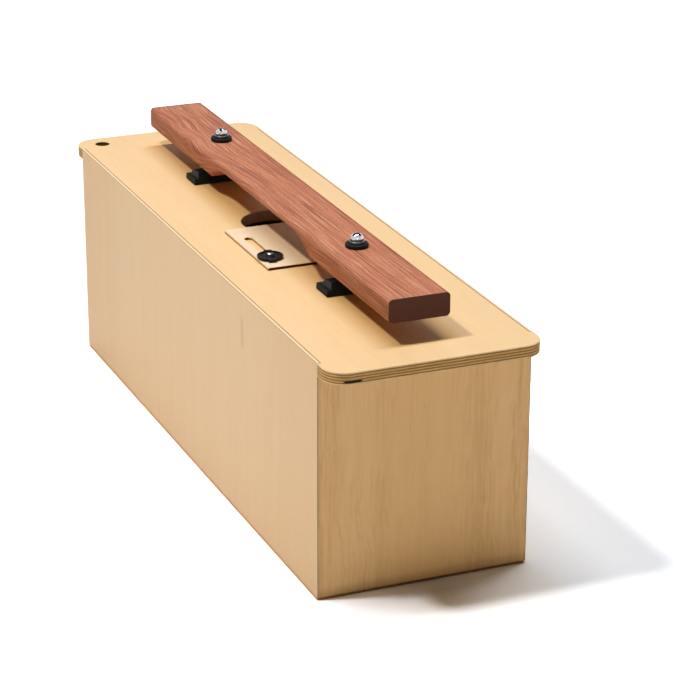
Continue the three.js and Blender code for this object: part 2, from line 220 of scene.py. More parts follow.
def veneer_colour(tree, mm, shades, grain_axis, strength, seed, calm=None):
    wave = stretched(tree, mm, [WAVE_MM] * 3, 2.0, seed)
    wavy = add_node(tree, "VectorMath", wave, [WAVE_SWING] * 3, mm, operation="MULTIPLY_ADD")
    fields = {}
    for key, (across, length) in GRAIN_MM.items():
        size = [across] * 3
        size[grain_axis] = length
        fields[key] = stretched(tree, wavy, size, 3.0, seed)
    tone = add_node(tree, "Math", fields["band"], fields["fibre"], operation="ADD")
    tone = add_node(tree, "Math", tone, strength, -strength, operation="MULTIPLY_ADD")
    if calm:
        aside = places(tree, mm)[1][ACROSS]
        fade = add_node(tree, "MapRange", aside, 0.3 * calm, calm, 0.3, 1.0)
        tone = add_node(tree, "Math", tone, fade, operation="MULTIPLY")
    tone = add_node(tree, "Math", tone, 0.5, operation="ADD")
    face = add_node(tree, "ValToRGB", tone, stops=list(zip((0.0, 0.5, 1.0), shades)))
    return shade_where(tree, face, shades[0], (fields["fleck"], 0.67, 0.78), most=0.6 * strength), tone


def birch_veneer(name, shades, grain_axis, strength, seed, calm=None, lines=(), flaw=None):
    material, tree, mm = start_material(name)
    colour, tone = veneer_colour(tree, mm, shades, grain_axis, strength, seed, calm)
    out = places(tree, mm)[1]
    for axis, start, full, shade, most in lines:
        colour = shade_where(tree, colour, shade, (out[axis], start, full), most=most)
    if flaw:
        colour = shade_where(tree, colour, "#b98f5e", *box_steps(tree, mm, *flaw), most=0.3)
    satin = add_node(tree, "MapRange", tone, 0.0, 1.0, 0.52, 0.44)
    dress(tree, colour, satin, tone, 0.1, 0.03, IOR=1.5, Specular_IOR_Level=0.35)
    return material


# Painted highlight: the pale line at each end of the side panel stands for light on its eased corner.
side_lines = [(ALONG, 180.0, OUTER_Y, "#e4b070", 0.4), (ALONG, OUTER_Y - 1.3, OUTER_Y - 1.0, "#fbe6c0", 0.8),
              (UPRIGHT, WALL_TOP - 0.9, WALL_TOP - 0.6, "#a0703f", 0.5),
              (UPRIGHT, WALL_TOP - 0.3, WALL_TOP, "#fadcb2", 1.0)]
# The last end line is painted shade: the end panel darkens towards its foot, where it meets the floor.
end_lines = [(ACROSS, OUTER_X - 1.3, OUTER_X - 1.0, "#6a4420", 0.8), (UPRIGHT, 13.0, 2.0, "#6f4d26", 0.4)]
STREAK = ((-120.0, -163.0, 179.0), (-90.0, -155.0, 214.0))
CALM_MM = 70.0

side_veneer = birch_veneer("birch_veneer_side", ("#d9ac72", "#edc289", "#f3cf9c"), UPRIGHT, 0.2, 3.1,
                           lines=side_lines, flaw=STREAK)
end_veneer = birch_veneer("birch_veneer_end", ("#c08a4e", "#f8c37d", "#fcd598"), UPRIGHT, 0.6, 7.7,
                          CALM_MM, end_lines)
inner_veneer = birch_veneer("birch_veneer_bottom", ("#c39a63", "#d9b27c", "#e6c491"), ALONG, 0.6, 5.2)
pine = birch_veneer("planed_pine", ("#b98a4e", "#d9b37a", "#e8c994"), UPRIGHT, 1.1, 9.4)
print("veneers:", side_veneer.name, end_veneer.name, inner_veneer.name, pine.name)

# %% [markdown]
# ## The lid's plywood
# The lid shows its thickness past both ends of the box: nine plies of 1.33 mm, every second one with its grain
# turned across. Seen from the end, the cross plies are darker. The pattern only needs the height, because the
# outermost plies are the face veneers themselves.
# A slow noise makes the glue lines wander by a few tenths of a millimetre, and one ply has a short open gap near
# the front left corner, as plywood of this grade has; the gap is painted shade, a near-black patch. The wall of
# the small mallet hole is painted dark, painted shade, and the wall of the sound hole pale, painted light for the
# light that reaches down into it. A brown line is painted along the seam beside each lip. The underside is dull
# and darker, so that it throws less light onto the top of the front panel, and the strip under the bar is painted
# a deeper yellow: painted shade, the warm colour of the bar's shadow.

# %% Plywood of the lid
lid_low, lid_high = box_mm("lid")
LID_UNDER, LID_TOP = lid_low[2], lid_high[2]
PLIES = 9
PLY_DARK, PLY_MID, PLY_PALE = "#a5773f", "#e4b16f", "#f6cd92"
PLY_GAP = ((-95.0, -394.0, 225.0), (-75.0, -366.0, 227.6))
SOUND_HOLE = (3.0, 34.0, 36.0)
MALLET_HOLE = (-79.75, 359.5, 8.0)
LIP, SEAM, GLUE = 3.0, 0.35, 0.9
WANDER = 0.5
SKIN = 0.6


def ply_edge(tree, mm, height):
    layer = add_node(tree, "MapRange", height, LID_UNDER + WANDER / 2, LID_TOP + WANDER / 2)
    stops = []
    for ply in range(PLIES):
        shade = PLY_DARK if ply % 2 else (PLY_PALE if ply in (0, PLIES - 1) else PLY_MID)
        stops += [((ply + 0.12) / PLIES, shade), ((ply + 0.88) / PLIES, shade)]
    edge = add_node(tree, "ValToRGB", layer, stops=stops)
    fibres = stretched(tree, mm, (9.0, 9.0, 0.7))
    light = add_node(tree, "MapRange", fibres, 0.0, 1.0, 0.55, 1.45)
    edge = shade_where(tree, edge, light, blend="MULTIPLY")
    # The open gap is painted shade: a near-black patch where the ply is missing.
    return shade_where(tree, edge, "#150c05", *box_steps(tree, mm, *PLY_GAP)), fibres


def lid_marks(tree, mm):
    place, out = places(tree, mm)
    beside = lid_high[0] - LIP - SEAM - GLUE
    # A brown line is painted along the seam beside each lip.
    marks = [("#744530", 0.65, [(out[0], beside, beside + 0.4), (out[1], OUTER_Y + 0.2, OUTER_Y - 0.2)])]
    plan = add_node(tree, "CombineXYZ", place[0], place[1])
    # Hole walls: the sound hole's is painted pale, painted light for the light that reaches into it, and the mallet
    # hole's is painted dark, painted shade.
    for (x, y, radius), shade in ((SOUND_HOLE, "#f2c9a4"), (MALLET_HOLE, "#4a2c12")):
        off = add_node(tree, "VectorMath", plan, (x, y, 0), operation="DISTANCE")
        wall = [(off, radius + 0.6, radius + 0.3), (place[2], LID_TOP - 0.4, LID_TOP - 0.8)]
        marks.append((shade, 0.85, wall))
    # The underside is darker, so that it throws less light onto the top of the front panel.
    marks.append(("#7d5c33", 1.0, [(place[2], LID_UNDER + 0.2, LID_UNDER + 0.1)]))
    # Painted shade: the strip under the bar is tinted a deeper yellow, the warm colour of the bar's shadow.
    painted_bar_shade = [(out[0], 48.0, 24.0), (out[1], 346.0, 336.0), (place[2], LID_TOP - 0.3, LID_TOP - 0.1)]
    return marks + [("#ffca80", 0.9, painted_bar_shade)]


def lid_plywood():
    material, tree, mm = start_material("birch_plywood_lid")
    face, _ = veneer_colour(tree, mm, ("#e8bd8a", "#f9d39f", "#fddfb0"), ALONG, 0.3, 1.3)
    wander = stretched(tree, mm, (45.0, 45.0, 3.0), 2.0)
    height = places(tree, mm)[0][2]
    height = add_node(tree, "Math", wander, WANDER, height, operation="MULTIPLY_ADD")
    edge, fibres = ply_edge(tree, mm, height)
    top = soft_mask(tree, (height, LID_TOP - SKIN, LID_TOP - SKIN + 0.2))
    colour = shade_where(tree, edge, face, (top, 0.0, 1.0))
    for shade, most, steps in lid_marks(tree, mm):
        colour = shade_where(tree, colour, shade, *steps, most=most)
    satin = add_node(tree, "MapRange", top, 0.0, 1.0, 0.7, 0.45)
    dress(tree, colour, satin, fibres, 0.1, 0.03, IOR=1.5, Specular_IOR_Level=0.12)
    return material


plywood = lid_plywood()
print("lid", round(LID_TOP - LID_UNDER, 1), "mm in", PLIES, "plies")

# %% [markdown]
# ## Rosewood
# The bar is planed rosewood: a warm brown with fine streaks along the grain, some pale and some nearly black. Where
# the tree grew unevenly the streaks bend, which shows near the left edge and most at the rear. It is only oiled, so
# it has little sheen.
# A slow noise pushes the grain sideways, little on the right and much on the left, and the streaks are noises that
# vary quickly across this bent grain and slowly along it. Short dashes are the open pores, 0.2 mm wide in reality
# and drawn 0.9 mm wide. The sides and the underside are darker, because they were sawn, not sanded. Faces that
# look down are also given an olive brown, so that the light they throw into the bar's shadow on the lid is warm.
# Towards the right edge the wood is darker: painted shade, where the rounded edge turns away from the light. Both
# ends are sealed with dark brown paint against drying, which laps over the rear edge a little.

# %% Rosewood
bar_low, bar_high = box_mm("tone_bar")
BAR_RIGHT, BAR_END, BAR_TOP = bar_high


def bent_grain(tree, mm, place):
    bend = stretched(tree, mm, (50.0, 130.0, 50.0), 1.5)
    for axis, start, full, least, most in ((ACROSS, bar_low[0], 6.0, 17.0, 3.0), (ALONG, 30.0, 170.0, 0.8, 2.4)):
        unruly = add_node(tree, "MapRange", place[axis], start, full, least, most)
        bend = add_node(tree, "Math", bend, unruly, operation="MULTIPLY")
    across = add_node(tree, "Math", place[2], 0.9, bend, operation="MULTIPLY_ADD")
    across = add_node(tree, "Math", across, place[0], operation="ADD")
    return add_node(tree, "CombineXYZ", across, place[1])


def rosewood_colour(tree, mm, place):
    grain = bent_grain(tree, mm, place)
    streak = stretched(tree, grain, (1.3, 110.0, 1.0), 5.0)
    broad = stretched(tree, grain, (12.0, 260.0, 1.0), 2.0, 4.0)
    pale = stretched(tree, grain, (0.7, 70.0, 1.0), 2.0, 7.0)
    dark = stretched(tree, grain, (1.1, 150.0, 1.0), 2.0, 19.0)
    pores = stretched(tree, mm, (0.9, 10.0, 0.9), 1.0)
    tone = add_node(tree, "Math", broad, 0.5, streak, operation="MULTIPLY_ADD")
    stops = [(0.5, "#9c573d"), (0.7, "#b96d4e"), (0.8, "#c27857"), (0.95, "#cc8766")]
    colour = add_node(tree, "ValToRGB", tone, stops=stops)
    colour = shade_where(tree, colour, "#e2b293", (pale, 0.55, 0.62), most=0.6)
    colour = shade_where(tree, colour, "#74392a", (dark, 0.57, 0.64), most=0.75)
    colour = shade_where(tree, colour, "#6b3523", (pores, 0.62, 0.74), most=0.5)
    return colour, streak, pores


def planed_rosewood():
    material, tree, mm = start_material("planed_rosewood")
    place, out = places(tree, mm)
    upward = facing(tree)[0][2]
    wood, streak, pores = rosewood_colour(tree, mm, place)
    sawn = (place[2], BAR_TOP - 2.0, BAR_TOP - 7.0)
    front = (place[1], -200.0, -BAR_END)
    # Painted shade: towards the right edge the wood is darkened, where the rounded edge turns away from the light.
    painted_edge_shade = (place[0], BAR_RIGHT - 8.0, BAR_RIGHT - 0.5)
    wood = shade_where(tree, wood, (0.8, 0.7, 0.53, 1), sawn, blend="MULTIPLY")
    wood = shade_where(tree, wood, (0.6, 0.58, 0.5, 1), sawn, front, most=0.5, blend="MULTIPLY")
    wood = shade_where(tree, wood, (0.62, 0.42, 0.36, 1), painted_edge_shade, blend="MULTIPLY")
    # Faces that look down are given an olive brown, so that the light they throw into the bar's shadow is warm.
    wood = shade_where(tree, wood, "#96713c", (upward, -0.85, -0.98), most=0.8)
    sealed = soft_mask(tree, (out[1], BAR_END - 1.1, BAR_END - 0.6))
    lapped = soft_mask(tree, (place[1], BAR_END - 3.0, BAR_END - 2.0), most=0.8)
    paint = add_node(tree, "Math", sealed, lapped, operation="MAXIMUM")
    colour = shade_where(tree, wood, "#562f20", (paint, 0.0, 1.0))
    rough = add_node(tree, "MapRange", streak, 0.0, 1.0, 0.68, 0.56)
    dress(tree, colour, rough, pores, 0.3, -0.1, IOR=1.5, Specular_IOR_Level=0.2)
    return material


rosewood = planed_rosewood()
print("rosewood for a bar", round(2 * BAR_END), "mm long")

# %% [markdown]
# ## Rubber, nylon and plated steel
# The supports and grommets are moulded black rubber: dull, with a trace of bloom. On a support the ends of the
# riser are painted lighter, a painted highlight for the left end, which faces the lamp. The knob is moulded nylon,
# a little glossier, with the fine spark-eroded texture of its mould. Screws and washers are zinc-plated steel,
# bright but slightly clouded. All three are one even colour, so only a fine noise breaks up the colour, the gloss
# and the surface. The grain of the moulds is about 0.2 mm and is drawn 0.7 mm wide.
# The driver's recess in a screw head is painted dark and dull: painted shade.

# %% Rubber, nylon and plated steel
MOULD_GRAIN, MOULD_CLOUD, PLATING_CLOUD = 0.7, 7.0, 2.5


def moulded(name, base, bloom, gloss, shine, depth, raised=None):
    material, tree, mm = start_material(name)
    cloud = stretched(tree, mm, [MOULD_CLOUD] * 3)
    fine = stretched(tree, mm, [MOULD_GRAIN] * 3, 2.0)
    colour = add_node(tree, "ValToRGB", cloud, stops=[(0.4, base), (0.75, bloom)])
    # Painted highlight: faces above the given height that look sideways are painted a lighter shade.
    if raised:
        start, shade = raised
        height = places(tree, mm)[0][2]
        aside = facing(tree)[1][0]
        colour = shade_where(tree, colour, shade, (height, start, start + 1.0), (aside, 0.0, 1.0))
    rough = add_node(tree, "MapRange", cloud, 0.0, 1.0, gloss - 0.08, gloss + 0.08)
    dress(tree, colour, rough, fine, 0.3, depth, IOR=1.52, Specular_IOR_Level=shine)
    return material


def plated_steel(name, dull, bright, gloss, recess=None):
    material, tree, mm = start_material(name)
    cloud = stretched(tree, mm, [PLATING_CLOUD] * 3)
    colour = add_node(tree, "ValToRGB", cloud, stops=[(0.35, dull), (0.65, bright)])
    rough = add_node(tree, "MapRange", cloud, 0.0, 1.0, gloss, gloss + 0.12)
    # Painted shade: the recess mask darkens the colour and makes it dull.
    if recess:
        dark = soft_mask(tree, *recess(tree, mm))
        colour = shade_where(tree, colour, "#0b0a0a", (dark, 0.0, 1.0))
        rough = add_node(tree, "Math", rough, dark, operation="MAXIMUM")
    dress(tree, colour, rough, cloud, 0.05, 0.02, Metallic=1.0)
    return material


black_rubber = moulded("moulded_black_rubber", "#100f0f", "#1e1b1b", 0.6, 0.12, 0.05)
foot_rubber = moulded("moulded_foot_rubber", "#141313", "#222120", 0.7, 0.2, 0.05)
nylon = moulded("moulded_black_nylon", "#110f11", "#1c1a1c", 0.42, 0.13, 0.03)
steel = plated_steel("zinc_plated_steel", "#a2a3a6", "#d4d5d7", 0.2)
washer_steel = plated_steel("dull_zinc_washer", "#5c5552", "#847d79", 0.35)
print("moulded and metal finishes ready")

# %% [markdown]
# ## Shaping helpers
# Most pieces are one of three shapes. A loft joins rings of points, each ring a little further up, which suits
# panels and blocks with eased edges. A board is a filled outline with holes, given thickness and a rounded edge by
# the curve's own bevel. A turned piece is a profile spun about an upright axis.

# %% Shaping helpers
TINY = 0.002 * MM
BORE = 3.3
SQUARE = ((-1, -1), (1, -1), (1, 1), (-1, 1))


def arc(cx, cy, radius, start, end, steps):
    turns = [math.radians(start + (end - start) * i / steps) for i in range(steps + 1)]
    return [(cx + radius * math.cos(t), cy + radius * math.sin(t)) for t in turns]


def hole(cx, cy, radius, points):
    return arc(cx, cy, radius, 360, 360 / points, points - 1)


def quarter(steps):
    return [math.radians(90 * i / steps) for i in range(steps + 1)]


def clean_mesh(name, bm):
    bmesh.ops.remove_doubles(bm, verts=bm.verts, dist=TINY)
    bmesh.ops.dissolve_degenerate(bm, edges=bm.edges, dist=TINY)
    bmesh.ops.recalc_face_normals(bm, faces=bm.faces)
    mesh = bpy.data.meshes.new(name)
    bm.to_mesh(mesh)
    bm.free()
    return mesh


def take_mesh(shape):
    mesh = bpy.data.meshes.new_from_object(shape.evaluated_get(bpy.context.evaluated_depsgraph_get()))
    bpy.data.objects.remove(shape)
    return mesh


def loft(name, rings):
    bm = bmesh.new()
    loops = [[bm.verts.new(Vector(point) * MM) for point in ring] for ring in rings]
    count = len(loops[0])
    for low, high in zip(loops, loops[1:]):
        for i in range(count):
            j = (i + 1) % count
            bm.faces.new((low[i], low[j], high[j], high[i]))
    bm.faces.new(loops[0][::-1])
    bm.faces.new(loops[-1])
    return clean_mesh(name, bm)


def board(name, outlines, bottom, top, edge):
    curve = bpy.data.curves.new(name, "CURVE")
    curve.dimensions = "2D"
    curve.fill_mode = "BOTH"
    curve.extrude = ((top - bottom) / 2 - edge) * MM
    curve.bevel_depth = edge * MM
    curve.bevel_resolution = 3
    curve.offset = -edge * MM
    for points in outlines:
        spline = curve.splines.new("POLY")
        spline.points.add(len(points) - 1)
        spline.use_cyclic_u = True
        for knot, (x, y) in zip(spline.points, points):
            knot.co = (x * MM, y * MM, 0.0, 1.0)
    shape = bpy.data.objects.new(name, curve)
    scene.collection.objects.link(shape)
    mesh = take_mesh(shape)
    mesh.transform(Matrix.Translation((0, 0, (top + bottom) / 2 * MM)))
    bm = bmesh.new()
    bm.from_mesh(mesh)
    return clean_mesh(name, bm)


def ring_profile(radius, low, high, under, over):
    (in_low, up), (in_high, down) = under, over
    return [(BORE, low), (radius - in_low, low), (radius, low + up), (radius, high - down), (radius - in_high, high),
            (BORE, high), (BORE, low)]


def turned(name, profile, steps=48):
    bm = bmesh.new()
    points = [bm.verts.new((radius * MM, 0.0, height * MM)) for radius, height in profile]
    lines = [bm.edges.new(pair) for pair in zip(points, points[1:])]
    bmesh.ops.spin(bm, geom=points + lines, axis=(0, 0, 1), cent=(0, 0, 0), steps=steps, angle=2 * math.pi)
    return clean_mesh(name, bm)


print("three ways to shape a piece: loft, board and turned")

# %% [markdown]
# A mesh becomes a piece in two steps. Faces that meet at less than 40 degrees are shaded as one surface, and a
# Weighted Normal modifier keeps the large flats flat beside their rounded edges. Then the piece is attached to the
# body it rides on, and the imported nodes that it stands for are hidden.

# %% From mesh to piece
SMOOTH_BELOW = math.radians(40)


def new_piece(name, mesh, material=None):
    mesh.name = name
    for polygon in mesh.polygons:
        polygon.use_smooth = True
    mesh.set_sharp_from_angle(angle=SMOOTH_BELOW)
    if material:
        mesh.materials.clear()
        mesh.materials.append(material)
    piece = bpy.data.objects.new(name, mesh)
    scene.collection.objects.link(piece)
    return piece


def joined(name, meshes):
    bm = bmesh.new()
    for mesh in meshes:
        bm.from_mesh(mesh)
    whole = bpy.data.meshes.new(name)
    bm.to_mesh(whole)
    bm.free()
    return whole


def settle(piece, body, nodes):
    normals = piece.modifiers.new("flat_faces", "WEIGHTED_NORMAL")
    normals.keep_sharp = True
    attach(piece, body)
    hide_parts(*nodes)
    print(piece.name, "stands for", ", ".join(nodes))


print("faces within", round(math.degrees(SMOOTH_BELOW)), "degrees shade as one")

# %% [markdown]
# ## The box
# Four panels meet in mitred corners, so no panel shows its thickness there, only a fine glue line. After gluing,
# the corners are eased by hand. Each panel is a loft: its outline in plan carries half of the rounded corner, and
# the first and last rings are drawn in a little to ease the bottom and the top. The side panels go on up beside the
# lid as a lip 3 mm thick, which needs two rings at one height.

# %% Box panels
end_low, end_high = box_mm("front_end_panel")
END_BOTTOM, END_TOP, WALL_BOTTOM = end_low[2], end_high[2], wall_low[2]
WALL, CORNER, EASE, GLUE_TURN, MITRE_GAP = 9.0, 1.4, 0.5, 7.0, 0.3
LIP_ROUND, LIP_TAPER, LIP_SHORT = 0.9, 0.1, 0.2
CORNER_X, CORNER_Y = OUTER_X - CORNER, OUTER_Y - CORNER


def side_panel(side):
    outer = arc(-CORNER_X, -CORNER_Y, CORNER, 225, 180, 5) + arc(-CORNER_X, CORNER_Y, CORNER, 180, 135, 5)

    def ring(height, drawn_in, inner_x, inner_y, inner_in=0.0):
        points = [(x + drawn_in, y, height) for x, y in outer]
        points += [(inner_x - inner_in, inner_y, height), (inner_x - inner_in, -inner_y, height)]
        return [(-side * x, y, z) for x, y, z in points]

    inside = (WALL - OUTER_X, OUTER_Y - WALL)
    lip = (LIP - OUTER_X, OUTER_Y - LIP_SHORT)
    rings = [ring(WALL_BOTTOM, EASE, *inside), ring(WALL_BOTTOM + EASE, 0, *inside), ring(END_TOP, 0, *inside)]
    rings += [ring(END_TOP, 0, *lip), ring(WALL_TOP - LIP_ROUND, 0, *lip)]
    for turn in quarter(4)[1:]:
        height = WALL_TOP - LIP_ROUND * (1 - math.sin(turn))
        rings.append(ring(height, LIP_ROUND * (1 - math.cos(turn)), *lip, LIP_TAPER))
    return rings


def end_panel(end):
    outer = arc(-CORNER_X, -CORNER_Y, CORNER, 225 + GLUE_TURN, 270, 5)
    outer += arc(CORNER_X, -CORNER_Y, CORNER, 270, 315 - GLUE_TURN, 5)
    inner_x, inner_y = OUTER_X - WALL - MITRE_GAP, WALL - OUTER_Y
    rings = []
    for z, drawn_in in ((END_BOTTOM, EASE), (END_BOTTOM + EASE, 0), (END_TOP - EASE, 0), (END_TOP, EASE)):
        outline = [(x, y + drawn_in) for x, y in outer] + [(inner_x, inner_y), (-inner_x, inner_y)]
        rings.append([(x, -end * y, z) for x, y in outline])
    return rings


for side_name, side in (("left", -1), ("right", 1)):
    panel = new_piece(f"{side_name}_wall", loft(side_name, side_panel(side)), side_veneer)
    settle(panel, "resonator", [f"{side_name}_side_panel"])
for end_name, end in (("front", -1), ("rear", 1)):
    panel = new_piece(f"{end_name}_wall", loft(end_name, end_panel(end)), end_veneer)
    settle(panel, "resonator", [f"{end_name}_end_panel"])

# %% [markdown]
# ## The lid
# The lid lies between the two lips and widens into a round-cornered ear past each end. It is routed from one
# board together with its holes: the sound hole under the bar, a small one in the rear left ear for the mallet, and
# bores for the fixings. A filled curve gives all of these their rounded edges at once.

# %% Lid
EAR_CORNER = 22.0
LID_EDGE = 0.45
NUT_BORE = 4.7
NODE_Y = middle_mm("bar_screw_rear")[1]
BOLT = middle_mm("slide_bolt")[:2]
GUIDE = middle_mm("slide_guide_screw")[:2]

neck_x, ear_y, tip_y = OUTER_X - LIP - SEAM, OUTER_Y + SEAM, lid_high[1]
ear = [(neck_x, ear_y), (OUTER_X, ear_y)]
ear += arc(OUTER_X - EAR_CORNER, tip_y - EAR_CORNER, EAR_CORNER, 0, 90, 14)
ear += [(-x, y) for x, y in ear[::-1]]
outlines = [ear + [(-x, -y) for x, y in ear]]
holes = [SOUND_HOLE, MALLET_HOLE, (0.0, NODE_Y, NUT_BORE), (0.0, -NODE_Y, NUT_BORE), (*BOLT, BORE), (*GUIDE, BORE)]
outlines += [hole(*place, 64) for place in holes]
lid = new_piece("lid_board", board("lid_board", outlines, LID_UNDER, LID_TOP, LID_EDGE), plywood)
settle(lid, "resonator", ["lid"])

# %% [markdown]
# ## Geometry Nodes
# What follows a rule or repeats is made by a Geometry Nodes tree. Each tree takes its lengths as inputs, ends in
# Realize Instances and Set Material, and is turned into a plain mesh at once. Both trees below need the two nodes
# of the bar, the places where it hardly moves as it sounds, so a line of two points is shared.

# %% Geometry Nodes helpers
def new_tree(name, lengths):
    tree = bpy.data.node_groups.new(name, "GeometryNodeTree")
    tree.interface.new_socket("Geometry", in_out="INPUT", socket_type="NodeSocketGeometry")
    for label, length in lengths.items():
        socket = tree.interface.new_socket(label, in_out="INPUT", socket_type="NodeSocketFloat")
        socket.default_value = length
    tree.interface.new_socket("Material", in_out="INPUT", socket_type="NodeSocketMaterial")
    tree.interface.new_socket("Geometry", in_out="OUTPUT", socket_type="NodeSocketGeometry")
    return tree, add_node(tree, "NodeGroupInput").outputs


def two_points(tree, distance, height):
    front = add_node(tree, "Math", distance, -1.0, operation="MULTIPLY")
    apart = add_node(tree, "Math", distance, 2.0, operation="MULTIPLY")
    first = add_node(tree, "CombineXYZ", Y=front, Z=height)
    onward = add_node(tree, "CombineXYZ", Y=apart)
    return add_node(tree, "GeometryNodeMeshLine", Count=2, Start_Location=first, Offset=onward)


def end_tree(tree, geometry, material):
    real = add_node(tree, "GeometryNodeRealizeInstances", geometry)
    painted = add_node(tree, "GeometryNodeSetMaterial", Geometry=real, Material=material)
    add_node(tree, "NodeGroupOutput", painted)


def grow(name, mesh, tree, values):
    seed = bpy.data.objects.new(name, mesh)
    scene.collection.objects.link(seed)
    modifier = seed.modifiers.new(tree.name, "NODES")
    modifier.node_group = tree
    for item in tree.interface.items_tree:
        if item.in_out == "INPUT" and item.name in values:
            modifier[item.identifier] = values[item.name]
    return new_piece(name, take_mesh(seed))


print("trees end in Realize Instances and Set Material")

# %% [markdown]
# ## The tone bar
# The bar is a plank with rounded long edges, thinned from below between its nodes: that long arch tunes it. A
# rounded rectangle is swept along a line, and then the lower half of each section is lifted by the arch's height at
# that place. The height rises as t (2 - t) over the ramp, which starts steep and ends level. The sums are written as
# a table, one row for each Math node. Two bores at the nodes are cut last.

# %% The bar's rule
bar_lengths = {"Length": 0.668, "Width": 0.06, "Thickness": 0.022, "Edge radius": 0.004, "Underside": 0.2566,
               "Roof": 0.0073, "Arch half length": 0.14, "Ramp": 0.045, "Node distance": 0.187,
               "Bore radius": 0.0059}
bar_tree, given = new_tree("tone_bar_rule", bar_lengths)
place, out = places(bar_tree, add_node(bar_tree, "GeometryNodeInputPosition"))
known = {"along": out[1], "height": place[2], **{label: given[label] for label in bar_lengths}}
for result, operation, first, second in (
        ("front", "MULTIPLY", "Length", -0.5), ("rear", "MULTIPLY", "Length", 0.5),
        ("half", "MULTIPLY", "Thickness", 0.5), ("middle", "ADD", "Underside", "half"),
        ("reach", "SUBTRACT", "Arch half length", "along"), ("t", "DIVIDE", "reach", "Ramp"),
        ("t", "MAXIMUM", "t", 0.0), ("t", "MINIMUM", "t", 1.0), ("slower", "SUBTRACT", 2.0, "t"),
        ("rise", "MULTIPLY", "t", "slower"), ("arch", "SUBTRACT", "Thickness", "Roof"),
        ("lift", "MULTIPLY", "rise", "arch"), ("above", "ADD", "height", "half"),
        ("flank", "SUBTRACT", "Thickness", "Edge radius"), ("share", "DIVIDE", "above", "flank"),
        ("rest", "SUBTRACT", 1.0, "share"), ("lift", "MULTIPLY", "lift", "rest"),
        ("lower", "LESS_THAN", "height", 0.0), ("lift", "MULTIPLY", "lift", "lower")):
    pair = [known.get(term, term) for term in (first, second)]
    known[result] = add_node(bar_tree, "Math", *pair, operation=operation)

start = add_node(bar_tree, "CombineXYZ", Y=known["front"])
finish = add_node(bar_tree, "CombineXYZ", Y=known["rear"])
line = add_node(bar_tree, "GeometryNodeCurvePrimitiveLine", start, finish)
line = add_node(bar_tree, "GeometryNodeResampleCurve", Count=335, Curve=line)
section = add_node(bar_tree, "GeometryNodeCurvePrimitiveQuadrilateral", given["Width"], given["Thickness"])
section = add_node(bar_tree, "GeometryNodeFilletCurve", section, mode="POLY", Count=7, Radius=given["Edge radius"])
plank = add_node(bar_tree, "GeometryNodeCurveToMesh", Fill_Caps=True, Curve=line, Profile_Curve=section)
offset = add_node(bar_tree, "CombineXYZ", Z=known["lift"])
arched = add_node(bar_tree, "GeometryNodeSetPosition", Geometry=plank, Offset=offset)
raised = add_node(bar_tree, "CombineXYZ", Z=known["middle"])
arched = add_node(bar_tree, "GeometryNodeTransform", arched, Translation=raised)
drill = add_node(bar_tree, "GeometryNodeMeshCylinder", Vertices=48, Depth=0.2, Radius=given["Bore radius"])
points = two_points(bar_tree, given["Node distance"], given["Underside"])
drills = add_node(bar_tree, "GeometryNodeInstanceOnPoints", Points=points, Instance=drill)
drills = add_node(bar_tree, "GeometryNodeRealizeInstances", drills)
bored = add_node(bar_tree, "GeometryNodeMeshBoolean", operation="DIFFERENCE", Mesh_1=arched, Mesh_2=drills)
end_tree(bar_tree, bored, given["Material"])
print("the rule of the bar takes", len(bar_tree.nodes), "nodes")

# %% [markdown]
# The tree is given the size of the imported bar. A bevel on the two end faces finishes it, set by edge weight so that
# nothing else is touched.

# %% Tone bar
END_EASE = 0.6
width, length, thickness = [(high - low) * MM for low, high in zip(bar_low, bar_high)]
tone_bar = grow("tone_bar_plank", bpy.data.meshes.new("empty"), bar_tree, {
    "Length": length, "Width": width, "Thickness": thickness, "Underside": bar_low[2] * MM,
    "Node distance": NODE_Y * MM, "Material": rosewood})
weights = tone_bar.data.attributes.new("bevel_weight_edge", "FLOAT", "EDGE")
ends = [abs(abs(vertex.co.y) / MM - BAR_END) < 0.01 for vertex in tone_bar.data.vertices]
for edge in tone_bar.data.edges:
    weights.data[edge.index].value = float(ends[edge.vertices[0]] and ends[edge.vertices[1]])
eased = tone_bar.modifiers.new("eased_ends", "BEVEL")
eased.limit_method = "WEIGHT"
eased.width = END_EASE * MM
eased.segments = 3
settle(tone_bar, "resonator", ["tone_bar"])

# %% [markdown]
# ## What holds the bar
# At each node the same stack repeats: a rubber support and a soft cushion below the bar, a rubber grommet, a
# steel washer and a round-headed screw above it. Each piece is shaped once on the axis and a Geometry Nodes tree
# sets a copy at both nodes, turned by its own angle, since no two screws stop at the same turn.

# %% A tree that sets one piece at both nodes
node_tree, given = new_tree("at_both_nodes", {"Node distance": 0.187, "Front turn": 0.0, "Rear turn": 0.0})
points = two_points(node_tree, given["Node distance"], 0.0)
index = add_node(node_tree, "GeometryNodeInputIndex")
turn = add_node(node_tree, "Mix", index, given["Front turn"], given["Rear turn"], data_type="FLOAT")
turn = add_node(node_tree, "CombineXYZ", Z=turn)
copies = add_node(node_tree, "GeometryNodeInstanceOnPoints", points, Instance=given["Geometry"], Rotation=turn)
end_tree(node_tree, copies, given["Material"])


def at_both_nodes(name, mesh, material, kind, front_turn=0.0, rear_turn=0.0, bevel=0.0):
    piece = grow(name, mesh, node_tree, {
        "Node distance": NODE_Y * MM, "Material": material,
        "Front turn": math.radians(front_turn), "Rear turn": math.radians(rear_turn)})
    if bevel:
        rounding = piece.modifiers.new("rounded_edges", "BEVEL")
        rounding.width = bevel * MM
        rounding.segments = 3
    settle(piece, "resonator", [f"{kind}_front", f"{kind}_rear"])


def levels(kind):
    low, high = box_mm(kind + "_front")
    return low[2], high[2], (high[0] - low[0]) / 2, (high[1] - low[1]) / 2


print("the copies stand", 2 * NODE_Y, "mm apart")

